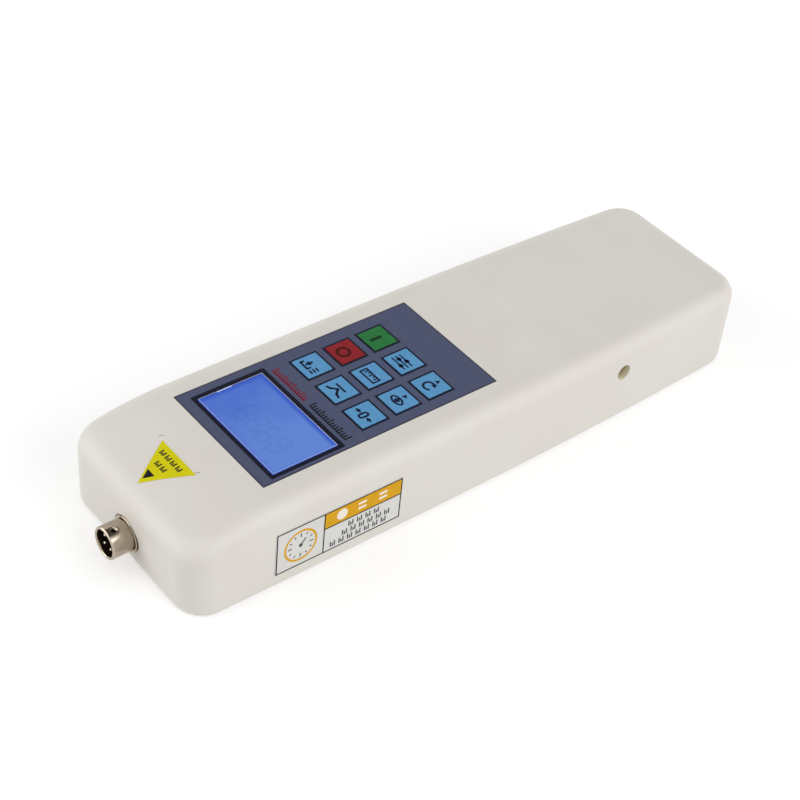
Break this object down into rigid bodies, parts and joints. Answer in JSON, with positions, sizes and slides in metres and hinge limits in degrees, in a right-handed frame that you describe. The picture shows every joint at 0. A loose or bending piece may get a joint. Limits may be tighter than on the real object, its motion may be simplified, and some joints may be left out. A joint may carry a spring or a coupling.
{
  "type": "digital force gauge",
  "caption": "Hand-held digital force gauge with a backlit display, a membrane keypad and a round socket for an outside force sensor.",
  "frame": {"origin": "middle of the flat back, in the plane that it lies on", "axes": "+X to the right of the display, +Y from the sensor socket to the far end, +Z out of the display"},
  "size_m": [0.0686, 0.2377, 0.0311],
  "materials": {
    "housing_plastic": "smooth moulded cream plastic, satin",
    "panel_film": "printed blue-grey polyester film",
    "key_blue": "printed sky-blue polyester film",
    "key_red": "printed red polyester film",
    "key_green": "printed green polyester film",
    "dark_trim": "dark printed display border",
    "clear_pane": "clear display pane",
    "lit_display": "backlit blue liquid-crystal display",
    "plain_film": "unprinted polyester film",
    "bright_steel": "zinc-plated steel",
    "socket_nickel": "nickel-plated turned brass",
    "gold_pin": "plated contact pin",
    "circuit_board": "green solder mask",
    "black_plastic": "black moulded plastic",
    "white_plastic": "white moulded plastic",
    "cable_sheath": "grey flexible sheath",
    "cell_wrap": "shrink-wrapped battery cell",
    "white_label": "white printed vinyl",
    "yellow_label": "yellow printed vinyl"
  },
  "bodies": {
    "gauge": {"front_housing": "housing_plastic", "rear_cover": "housing_plastic", "cover_screw_1": "bright_steel", "cover_screw_2": "bright_steel", "cover_screw_3": "bright_steel", "cover_screw_4": "bright_steel", "panel_overlay": "panel_film", "keypad_spacer": "plain_film", "dome_sheet": "bright_steel", "keypad_circuit": "plain_film", "keypad_ribbon": "plain_film", "keypad_connector": "white_plastic", "display_frame": "dark_trim", "display_window": "clear_pane", "lcd_bezel": "black_plastic", "lcd_glass": "lit_display", "lcd_backlight": "white_plastic", "lcd_board": "circuit_board", "display_header": "black_plastic", "main_board": "circuit_board", "amplifier_shield": "bright_steel", "processor_chip": "black_plastic", "buzzer": "black_plastic", "sensor_connector": "white_plastic", "power_connector": "white_plastic", "board_screw_1": "bright_steel", "board_screw_2": "bright_steel", "board_screw_3": "bright_steel", "board_screw_4": "bright_steel", "socket_shell": "socket_nickel", "socket_insulator": "black_plastic", "socket_washer": "bright_steel", "socket_nut": "bright_steel", "socket_pin_1": "gold_pin", "socket_pin_2": "gold_pin", "socket_pin_3": "gold_pin", "socket_pin_4": "gold_pin", "battery_cradle": "black_plastic", "battery_cell_1": "cell_wrap", "battery_cell_2": "cell_wrap", "battery_cell_3": "cell_wrap", "battery_cell_4": "cell_wrap", "charge_jack": "black_plastic", "charge_jack_nut": "bright_steel", "data_port": "bright_steel", "port_board": "circuit_board", "sensor_cable": "cable_sheath", "battery_lead": "cable_sheath", "port_cable": "cable_sheath", "side_label": "white_label", "nose_sticker": "yellow_label"},
    "save_key": {"key_save": "key_blue"},
    "peak_key": {"key_peak": "key_blue"},
    "zero_key": {"key_zero": "key_blue"},
    "off_key": {"key_off": "key_red"},
    "unit_key": {"key_unit": "key_blue"},
    "view_key": {"key_view": "key_blue"},
    "on_key": {"key_on": "key_green"},
    "set_key": {"key_set": "key_blue"},
    "rotate_key": {"key_rotate": "key_blue"}
  },
  "joints": [
    {"name": "save_key_press", "type": "slide", "parent": "gauge", "child": "save_key", "axis": [0, 0, -1], "range_m": [0, 0.00035], "stiffness_N_per_m": 600},
    {"name": "peak_key_press", "type": "slide", "parent": "gauge", "child": "peak_key", "axis": [0, 0, -1], "range_m": [0, 0.00035], "stiffness_N_per_m": 600},
    {"name": "zero_key_press", "type": "slide", "parent": "gauge", "child": "zero_key", "axis": [0, 0, -1], "range_m": [0, 0.00035], "stiffness_N_per_m": 600},
    {"name": "off_key_press", "type": "slide", "parent": "gauge", "child": "off_key", "axis": [0, 0, -1], "range_m": [0, 0.00035], "stiffness_N_per_m": 600},
    {"name": "unit_key_press", "type": "slide", "parent": "gauge", "child": "unit_key", "axis": [0, 0, -1], "range_m": [0, 0.00035], "stiffness_N_per_m": 600},
    {"name": "view_key_press", "type": "slide", "parent": "gauge", "child": "view_key", "axis": [0, 0, -1], "range_m": [0, 0.00035], "stiffness_N_per_m": 600},
    {"name": "on_key_press", "type": "slide", "parent": "gauge", "child": "on_key", "axis": [0, 0, -1], "range_m": [0, 0.00035], "stiffness_N_per_m": 600},
    {"name": "set_key_press", "type": "slide", "parent": "gauge", "child": "set_key", "axis": [0, 0, -1], "range_m": [0, 0.00035], "stiffness_N_per_m": 600},
    {"name": "rotate_key_press", "type": "slide", "parent": "gauge", "child": "rotate_key", "axis": [0, 0, -1], "range_m": [0, 0.00035], "stiffness_N_per_m": 600}
  ]
}
